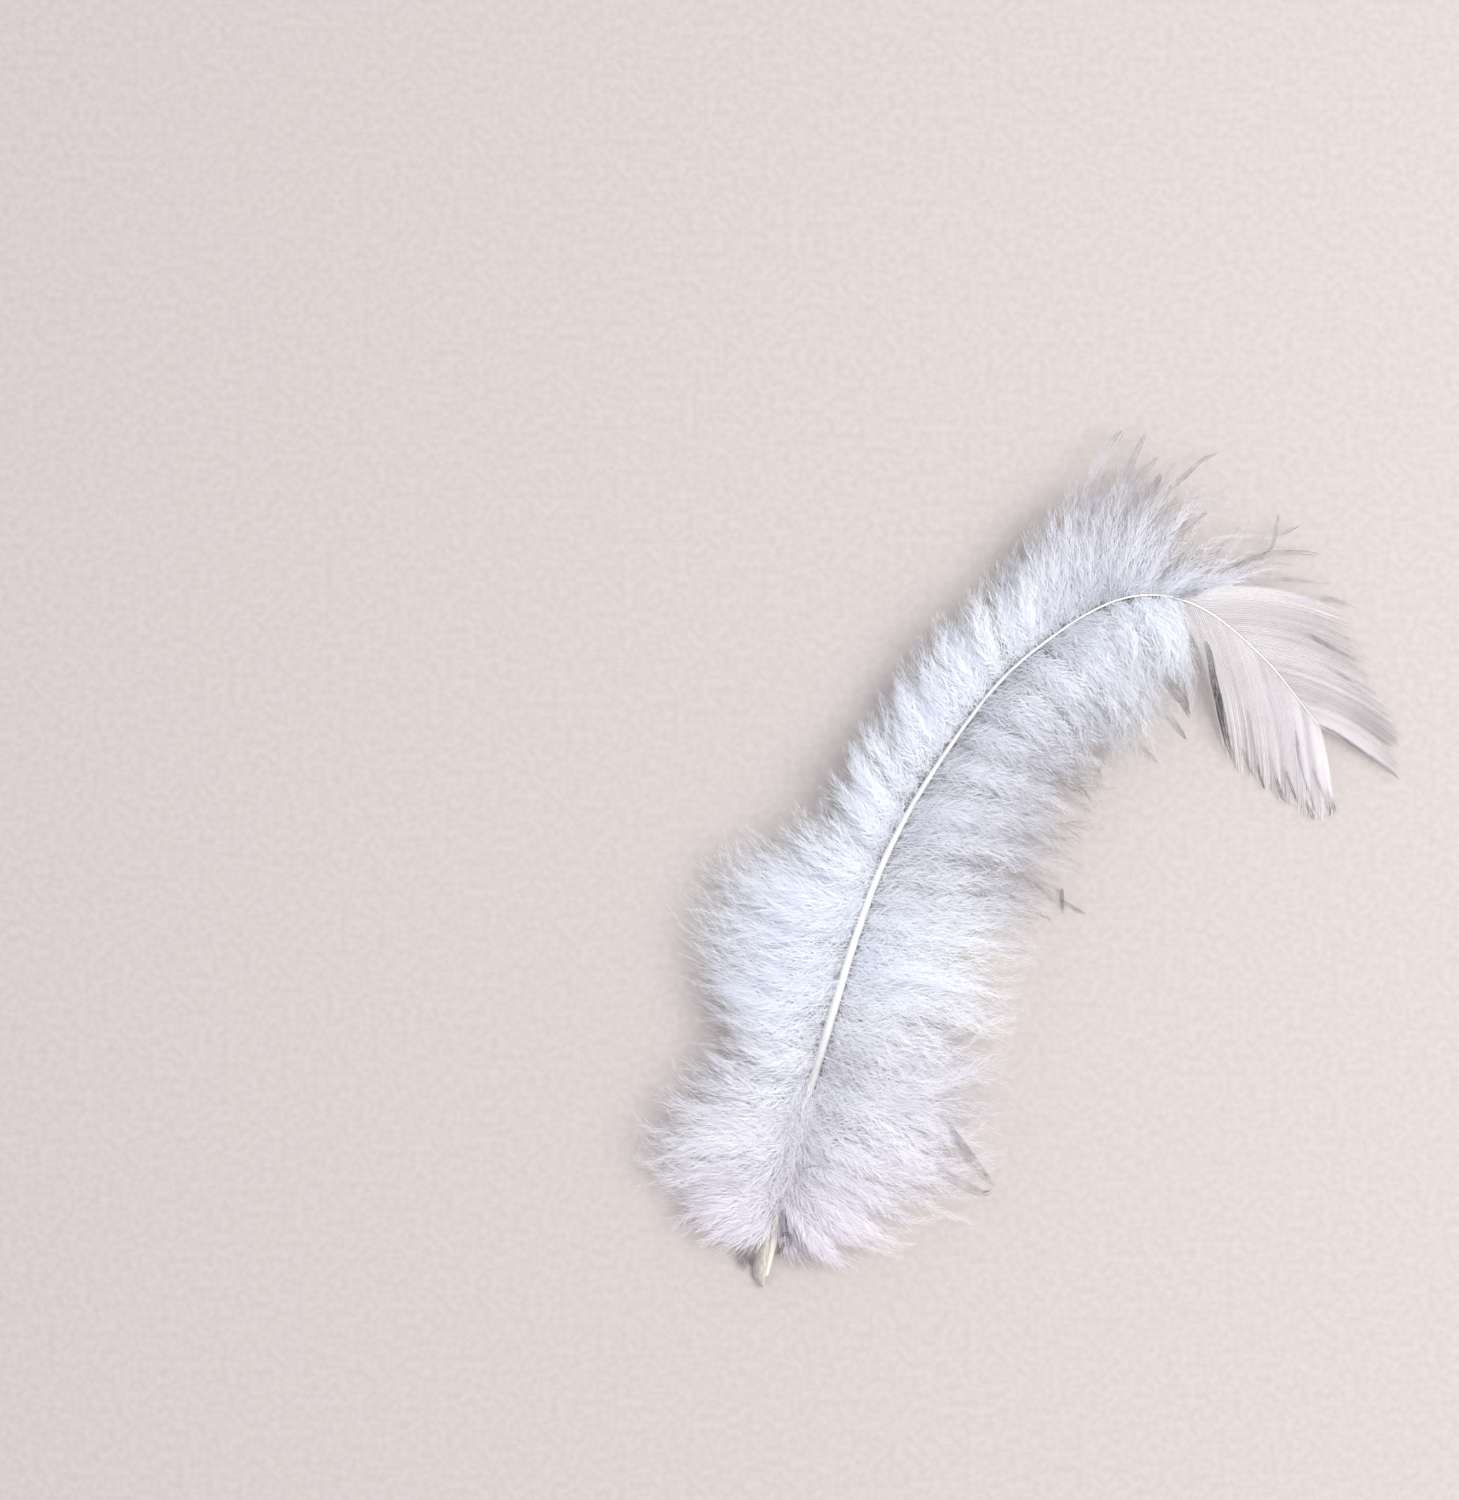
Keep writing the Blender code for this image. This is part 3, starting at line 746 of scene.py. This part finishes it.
def makeDown(draw, piece, material):
    grown = [growDown(draw, piece, layer) for layer in downLayers]
    paths, tones, fluff, paintedTipShading, paintedRootShade = [np.concatenate(kind) for kind in zip(*grown)]
    rami = growRami(paths, downPlan["ramusRadius"], tones, paintedTipShading)
    barbules = growBarbules(draw, paths, tones, fluff, paintedTipShading, paintedRootShade, downPlan["barbules"])
    return joinedPiece(piece["name"], [rami, barbules], material)


# Short loose barbs that start beyond the shaft, most of them near its root, and cross it and hide it: lengths
# and heights in mm, angle and curl in degrees
veilPlan = {
    "barbs": 32, "start": 0.068, "end": 0.16, "crowding": 3, "beyond": (0.5, 2.4), "angle": (12, 34),
    "length": (4, 6.5), "curl": 20, "rootHeight": 0.6, "over": (1.0, 2.0), "climb": 0.12, "arch": 0.4,
    "tone": (0.5, 0.8), "barbules": 60, "steps": 7,
}


def makeVeil(draw, material):
    plan, count = veilPlan, veilPlan["barbs"]
    crowded = np.sort(draw.uniform(0, 1, count)) ** plan["crowding"]
    shares = plan["start"] + (plan["end"] - plan["start"]) * crowded
    side = draw.choice([leftSide, rightSide], count)
    way = shaftWay(shares)
    root = shaftPlace(shares) - turned(way, side * 90.0) * draw.uniform(*plan["beyond"], count)[:, None]
    base = shaftHeight(shares)
    zeros, ones = np.zeros(count), np.ones(count)
    length = draw.uniform(*plan["length"], count)
    tip = base + draw.uniform(*plan["over"], count) + length * plan["climb"]
    paths = growPaths(
        root, way, side[:, None], draw.uniform(*plan["angle"], count), length, plan["curl"] * ones,
        base + plan["rootHeight"], tip, plan["arch"] * ones, plan["steps"],
    )
    tones = draw.uniform(*plan["tone"], count)
    rami = growRami(paths, downPlan["ramusRadius"], tones, 0.0)
    barbules = growBarbules(draw, paths, tones, ones, zeros, zeros, plan["barbules"])
    return joinedPiece("veilDown", [rami, barbules], material)


# The two vanes of the tip: stiff barbs hooked into a sheet that parts into points. Each row says where on the
# shaft a barb grows, where its tip lies, how far it bows to the left of a straight line, in mm, and its tone
vanePlan = {
    "upperVane": {
        "barbs": [
            (0.798, 36.5, 30.6, 1.5, 1.0), (0.812, 38.8, 29.2, 1.4, 1.0), (0.834, 39.9, 27.2, 1.3, 0.88),
            (0.855, 41.0, 25.0, 1.2, 0.75), (0.872, 42.0, 22.6, 1.1, 0.7), (0.895, 43.3, 19.6, 1.0, 0.68),
            (0.916, 44.4, 17.0, 0.9, 0.8), (0.94, 45.1, 14.8, 0.8, 0.7), (0.97, 45.2, 12.2, 0.7, 0.68),
            (1.0, 44.9, 9.4, 0.6, 0.7),
        ],
        "points": 22,
        # painted shade: the upper vane's tips are darker
        "paintedTipShading": -0.3,
    },
    "lowerVane": {
        "barbs": [
            (0.812, 24.3, 12.4, 1.0, 0.7), (0.833, 25.8, 10.2, 1.0, 0.78), (0.855, 27.4, 9.4, 0.9, 0.74),
            (0.872, 28.7, 8.6, 0.8, 0.7), (0.895, 30.4, 7.2, 0.7, 0.8), (0.916, 31.9, 6.2, 0.6, 0.7),
            (0.94, 33.4, 5.2, 0.4, 0.74), (0.97, 35.2, 4.4, 0.3, 0.72), (1.0, 37.2, 5.2, 0.1, 0.74),
        ],
        "points": 30,
        # painted light: the lower vane's tips are lighter against the shade beneath them
        "paintedTipShading": 0.15,
    },
    "rows": 68, "steps": 10, "reach": (0.9, 1.02), "rootDrop": 0.1, "tipHeight": 0.35, "arch": 0.6,
    "gather": 0.5, "gathers": (0.4, 1.0), "gatherPower": 5, "toneShift": -0.06, "pointTone": 0.1,
    "barbTone": 0.12, "ramusRadius": (0.032, 0.015),
}


def growVane(draw, plan, count):
    rows = plan["barbs"]
    shares = np.linspace(rows[0][0], rows[-1][0], count)
    columns = [readProfile(rows, shares, i) for i in (1, 2, 3, 4)]
    root, tip = shaftPlace(shares), np.stack(columns[:2], axis=1)
    tip = root + (tip - root) * draw.uniform(*vanePlan["reach"], (count, 1))
    share = np.linspace(0, 1, vanePlan["steps"] + 1)[None, :, None]
    across = turned(unit(tip - root), 90.0)[:, None]
    level = root[:, None] * (1 - share) + tip[:, None] * share
    level = level + across * 4 * columns[2][:, None, None] * share * (1 - share)
    height = (shaftHeight(shares) - vanePlan["rootDrop"])[:, None, None]
    height = height * (1 - share) + vanePlan["tipHeight"] * share
    paths = np.concatenate([level, height + 4 * vanePlan["arch"] * share * (1 - share)], axis=2)
    bounds = np.sort(draw.uniform(0, count, plan["points"] - 1))
    group = np.searchsorted(bounds, np.arange(count))
    guides = np.stack([paths[group == one].mean(axis=0) for one in group])
    gather = vanePlan["gather"] * draw.uniform(*vanePlan["gathers"], plan["points"])[group][:, None, None]
    gather = gather * share ** vanePlan["gatherPower"]
    tones = columns[3] + vanePlan["toneShift"]
    tones = tones + vanePlan["pointTone"] * draw.uniform(-1, 1, plan["points"])[group]
    tones = tones + vanePlan["barbTone"] * draw.uniform(-1, 1, count)
    return paths * (1 - gather) + guides * gather, tones


# The hooked barbules that hold a vane's barbs together, in two rows along each. Real ones are 0.02 mm apart,
# too fine to show, so they are drawn coarser and fewer: length and radius in mm, lean in degrees
hookPlan = {
    "each": 230, "first": 0.01, "covered": 0.97, "within": (0.3, 0.7), "lean": 38, "leanSpread": 3,
    "tilt": 0.08, "length": 0.7, "lengths": (0.85, 1.1), "radius": 0.018, "toneSpread": 0.05,
    "fullness": [(0, 0.8), (0.7, 1.0), (0.88, 0.6), (1.0, 0.2)],
}


def growHooks(draw, paths, tones, paintedTipShading):
    plan, count, each = hookPlan, len(paths), hookPlan["each"]
    at = np.arange(each) + draw.uniform(*plan["within"], (count, each))
    at = plan["first"] + plan["covered"] * at / each
    feet, ways = readPaths(paths, at)
    level, over = sidesOf(ways)
    sideways = level * np.where(np.arange(each) % 2, 1.0, -1.0)[None, :, None]
    sideways = sideways + over * draw.normal(0, plan["tilt"], (count, each))[..., None]
    lean = np.radians(plan["lean"] + draw.normal(0, plan["leanSpread"], (count, each)))[..., None]
    ways = unit(ways * np.cos(lean) + sideways * np.sin(lean))
    lengths = plan["length"] * readProfile(plan["fullness"], at)
    lengths = lengths * draw.uniform(*plan["lengths"], (count, each))
    # The tips' tone changes by the vane's painted tip shading: shade on the upper vane, light on the lower
    shades = tones[:, None] + paintedTipShading * at ** 2 + draw.normal(0, plan["toneSpread"], (count, each))
    return needles(feet, ways, lengths, plan["radius"], shades)


def makeVane(draw, name, material):
    plan = vanePlan[name]
    paths, tones = growVane(draw, plan, vanePlan["rows"])
    rami = growRami(paths, vanePlan["ramusRadius"], tones, plan["paintedTipShading"])
    return joinedPiece(name, [rami, growHooks(draw, paths, tones, plan["paintedTipShading"])], material)


# Single barbs and clumped locks that stand out from the rest: (points, width, height at root and tip,
# all in mm, and tone at root and tip). Their dark tones are painted shade of locks and barb tips seen in
# shade, but for the stunted barbs by the quill, which are dark of their own
wispPlan = [
    # left of the tip, above the upper vane: locks darkened as painted shade
    ([(6.2, 37.2), (6.4, 40.0), (7.2, 42.7), (8.8, 47.3), (10.8, 50.1), (11.8, 51.4)],
     1.5, (9.6, 2.6), (0.3, 0.27)),
    ([(11.9, 37.0), (12.1, 40.7), (12.7, 44.3), (14.8, 46.9), (16.2, 48.7)], 0.9, (9.4, 2.4), (0.27, 0.22)),
    ([(12.4, 38.8), (13.9, 42.4), (15.5, 44.8), (16.4, 46.3)], 0.8, (8.6, 2.6), (0.22, 0.17)),
    ([(14.6, 40.0), (16.7, 43.6), (18.7, 45.4), (20.9, 47.4), (23.3, 48.7)], 0.6, (7.4, 2.4), (0.25, 0.12)),
    ([(10.4, 42.0), (11.6, 45.0), (13.3, 48.7), (14.8, 51.4)], 0.8, (6.4, 2.4), (0.3, 0.24)),
    ([(10.2, 37.2), (8.4, 35.8), (7.8, 33.6)], 0.15, (8.6, 8.4), (0.05, 0.12)),
    ([(28.4, 36.4), (29.6, 37.4), (30.2, 40.3), (30.4, 42.5)], 0.3, (2.6, 2.0), (0.15, 0.02)),
    ([(22.4, 38.3), (26.0, 38.6), (29.2, 38.5), (31.3, 39.1), (33.0, 40.0)], 0.4, (4.0, 1.8), (0.5, 0.12)),
    ([(24.0, 34.6), (25.0, 34.9), (28.8, 36.4), (33.0, 36.7), (35.5, 36.4)], 0.6, (4.0, 1.6), (0.25, 0.08)),
    ([(26.0, 33.9), (27.6, 33.7), (31.6, 33.5), (34.0, 33.2), (36.7, 32.9)], 0.5, (3.6, 1.4), (0.4, 0.12)),
    ([(31.0, 31.6), (32.8, 31.2), (35.3, 31.2), (37.3, 31.0), (39.7, 30.0)], 0.5, (3.0, 1.2), (0.4, 0.12)),
    # the upper vane's streaks, and its lower edge, a dark line of painted shadow
    ([(33.5, 27.0), (35.5, 26.0), (40.0, 23.6)], 0.4, (3.4, 1.2), (0.3, 0.12)),
    ([(36.2, 23.2), (37.9, 22.0), (40.9, 19.8)], 0.4, (2.9, 1.2), (0.3, 0.12)),
    ([(35.2, 16.1), (37.6, 14.9), (39.7, 13.4), (42.5, 11.5), (44.0, 10.4), (44.9, 9.4)],
     0.3, (2.5, 2.0), (0.0, 0.0)),
    # the lower vane's borders and frayed tips; the dark left border and tips are painted shade
    ([(35.2, 15.8), (35.9, 13.4), (36.4, 10.8), (36.7, 8.0), (37.4, 5.2)], 0.2, (2.1, 0.8), (0.9, 0.6)),
    ([(21.2, 26.0), (21.8, 24.6), (22.4, 21.4), (23.1, 18.8), (23.7, 16.2), (24.5, 13.3), (25.7, 10.4)],
     0.8, (5.7, 1.2), (0.1, -0.3)),
    ([(22.2, 22.6), (22.9, 19.4), (23.6, 16.4), (24.4, 13.6), (25.5, 11.0)],
     0.9, (5.2, 1.8), (0.06, -0.12)),
    ([(26.0, 13.4), (27.4, 10.0)], 0.25, (1.9, 0.7), (0.12, 0.0)),
    ([(26.6, 18.0), (27.7, 12.4), (28.7, 8.8)], 0.3, (2.9, 0.7), (0.25, 0.0)),
    ([(27.6, 11.6), (28.9, 8.4)], 0.2, (1.7, 0.7), (0.12, 0.0)),
    ([(29.2, 12.6), (30.4, 9.1), (31.6, 6.4)], 0.25, (2.2, 0.7), (0.15, 0.0)),
    ([(30.2, 9.8), (31.0, 7.2)], 0.2, (1.6, 0.7), (0.12, 0.0)),
    ([(31.2, 10.8), (32.9, 6.6)], 0.25, (1.8, 0.7), (0.12, 0.0)),
    ([(32.4, 15.4), (32.9, 12.4), (34.0, 8.8), (35.3, 4.8)], 0.3, (2.7, 0.7), (0.2, 0.0)),
    ([(34.4, 11.0), (36.4, 6.4), (36.7, 5.3)], 0.25, (2.2, 0.7), (0.12, 0.0)),
    ([(36.2, 8.4), (37.5, 5.3)], 0.25, (1.6, 0.7), (0.12, 0.0)),
    ([(33.6, 7.2), (34.9, 4.4)], 0.25, (1.5, 0.7), (0.12, 0.0)),
    # locks in the inner bend
    ([(10.6, 27.4), (11.2, 25.0), (12.6, 22.4)], 1.3, (9.3, 7.8), (0.5, 0.25)),
    ([(14.8, 23.5), (16.6, 20.9), (18.4, 18.8), (19.4, 16.8)], 1.2, (10.4, 7.2), (0.35, -0.1)),
    ([(14.6, 20.0), (16.8, 17.0), (19.0, 14.3)], 0.9, (9.2, 5.8), (0.35, 0.0)),
    ([(9.2, 19.9), (11.2, 18.6), (13.4, 16.9)], 0.8, (9.8, 7.6), (0.4, 0.15)),
    ([(13.2, 15.0), (14.6, 13.0), (16.6, 11.3)], 0.25, (2.4, 0.6), (0.2, 0.1)),
    # the right side's loose wisps
    ([(4.6, -3.4), (4.7, -6.6)], 0.35, (0.9, 0.5), (0.02, 0.02)),
    ([(4.6, -4.9), (7.4, -6.6)], 0.25, (0.8, 0.3), (0.06, 0.14)),
    ([(-10.9, -35.6), (-9.4, -37.1), (-7.4, -38.5), (-5.2, -39.5), (-4.0, -39.3)],
     1.0, (7.8, 5.2), (0.2, 0.05)),
    ([(-9.2, -31.4), (-8.1, -33.2), (-6.6, -35.4), (-5.2, -37.2), (-3.6, -38.8)],
     1.2, (8.2, 5.6), (0.2, 0.05)),
    ([(-16.4, -32.8), (-13.5, -33.7)], 0.16, (10.5, 10.3), (1.0, 1.0)),
    ([(-26.8, -36.5), (-25.2, -36.1), (-23.7, -36.4)], 0.12, (7.8, 7.5), (0.15, 0.15)),
    # stunted barbs either side of the quill
    ([(-33.2, -45.2), (-33.7, -47.4), (-33.4, -49.5)], 1.2, (2.4, 0.5), (0.4, 0.12)),
    ([(-32.6, -46.2), (-32.9, -47.6), (-32.5, -48.8)], 0.5, (2.0, 0.5), (0.3, 0.1)),
    ([(-29.3, -45.0), (-28.6, -44.5), (-28.0, -45.0), (-28.0, -46.2)], 0.25, (4.6, 3.8), (0.0, 0.0)),
    ([(-28.7, -45.4), (-29.0, -46.4), (-29.6, -47.2)], 0.25, (4.4, 3.0), (0.0, 0.02)),
]
# Each stroke is strands, a gap apart in mm, with short barbules. Swell says how it widens and closes again,
# fray how far strands stop short of its tip; radius goes by share of a strand
wispStrands = {
    "steps": 4, "gap": 0.1, "fray": 0.3, "swell": (0.12, 0.83, 0.8), "stray": 0.03, "straySpread": 0.12,
    "toneSpread": 0.05, "radius": [(0, 0.008), (0.35, 0.029), (1, 0.008)], "barbules": 30,
    "within": (0.02, 0.95), "lean": 13, "tilt": 0.1, "barbuleLength": 0.8, "lengths": (0.5, 1.2),
    "barbuleRadius": 0.014,
}


def growStrands(draw, line, width, height, tone):
    plan, strands = wispStrands, max(2, round(width / wispStrands["gap"]))
    share = np.linspace(0, 1, len(line))
    across = turned(unit(np.gradient(line, axis=0)), 90.0)
    places = share * (1 - plan["fray"] * draw.uniform(0, 1, (strands, 1)) ** 2)
    start, covered, power = plan["swell"]
    swell = np.sin(math.pi * (start + covered * places)) ** power
    offsets = np.linspace(-1, 1, strands)[:, None] * width / 2 * swell
    offsets = offsets + draw.normal(0, plan["stray"], (strands, 1)) * places
    level = [
        np.interp(places, share, line[:, i]) + offsets * np.interp(places, share, across[:, i])
        for i in range(2)
    ]
    rise = height[0] * (1 - places) + height[1] * places
    rise = rise + draw.normal(0, plan["straySpread"], (strands, 1)) * places
    tones = tone[0] * (1 - places) + tone[1] * places
    tones = tones + draw.uniform(-plan["toneSpread"], plan["toneSpread"], (strands, 1))
    return np.stack(level + [rise], axis=2), tones


def growStrandBarbules(draw, paths, tone):
    plan, shape = wispStrands, (len(paths), wispStrands["barbules"])
    at = np.sort(draw.uniform(*plan["within"], shape), axis=1)
    feet, ways = readPaths(paths, at)
    sides, over = sidesOf(ways)
    lean = np.radians(draw.normal(0, plan["lean"], shape))[..., None]
    tilt = draw.normal(0, plan["tilt"], (*shape, 1))
    ways = unit(ways * np.cos(lean) + sides * np.sin(lean) + over * tilt)
    lengths = plan["barbuleLength"] * draw.uniform(*plan["lengths"], at.size)
    return needles(feet, ways, lengths, plan["barbuleRadius"], tone[0] * (1 - at) + tone[1] * at)


def makeWisps(draw, material):
    parts = []
    for points, width, height, tone in wispPlan:
        line = smoothLine(points, wispStrands["steps"])
        paths, tones = growStrands(draw, line, width, height, tone)
        thickness = readProfile(wispStrands["radius"], np.linspace(0, 1, len(line)))
        parts.append(tubes(paths, np.broadcast_to(thickness, paths.shape[:2]), tones))
        parts.append(growStrandBarbules(draw, paths, tone))
    return joinedPiece("looseWisps", parts, material)


# The photograph's frame is 175 by 180 mm of the surface, seen from straight above: mm a pixel, pixels, the
# pixel at the origin, mm above the surface
viewPlan = {"pixel": 0.12, "frame": (1459, 1500), "origin": (1023, 859), "height": 520, "sensor": 24}


def makeCamera():
    pixel, (wide, high) = viewPlan["pixel"], viewPlan["frame"]
    data = bpy.data.cameras.new("camera")
    data.sensor_fit = "VERTICAL"
    data.sensor_height = viewPlan["sensor"]
    data.lens = data.sensor_height * viewPlan["height"] / (high * pixel)
    camera = bpy.data.objects.new("camera", data)
    x = (wide / 2 - viewPlan["origin"][0]) * pixel
    y = (viewPlan["origin"][1] - high / 2) * pixel
    camera.location = Vector((x, y, viewPlan["height"])) * mm
    bpy.context.scene.collection.objects.link(camera)
    bpy.context.scene.camera = camera
    print("camera set")


# Soft light from the right and a little from above the picture, place and size in mm and power in watts, with
# a bright room all round
lightPlan = {
    "from": (230, 20, 520), "size": 380, "power": 3.38, "room": 1.1,
    "roomColour": "#F4F4FA", "keyColour": "#FFFDFA",
}


def makeLight():
    data = bpy.data.lights.new("windowLight", "AREA")
    data.shape = "DISK"
    data.size = lightPlan["size"] * mm
    data.energy = lightPlan["power"]
    data.color = colour(lightPlan["keyColour"])[:3]
    light = bpy.data.objects.new("windowLight", data)
    light.location = Vector(lightPlan["from"]) * mm
    light.rotation_euler = (-light.location).to_track_quat("-Z", "Y").to_euler()
    bpy.context.scene.collection.objects.link(light)
    world = bpy.data.worlds.new("room")
    world.use_nodes = True
    setInputs(
        world, world.node_tree.nodes["Background"],
        {"Color": colour(lightPlan["roomColour"]), "Strength": lightPlan["room"]},
    )
    bpy.context.scene.world = world
    bpy.context.scene.view_settings.view_transform = "Standard"
    print("light set")


def makeFloor():
    mesh = bmesh.new()
    bmesh.ops.create_grid(mesh, x_segments=2, y_segments=2, size=floorSize * mm)
    finishedPiece("floor", mesh, palePaper())


makeCamera()
makeLight()
makeFloor()
standFor(makeShaft())
standFor(makeSheath())
draw = np.random.default_rng(seed)
downMaterial, vaneMaterial = downKeratin(), vaneKeratin()
for piece in downPieces:
    standFor(makeDown(draw, piece, downMaterial))
standFor(makeVeil(draw, downMaterial))
for name in ("upperVane", "lowerVane"):
    standFor(makeVane(draw, name, vaneMaterial))
standFor(makeWisps(draw, downMaterial))
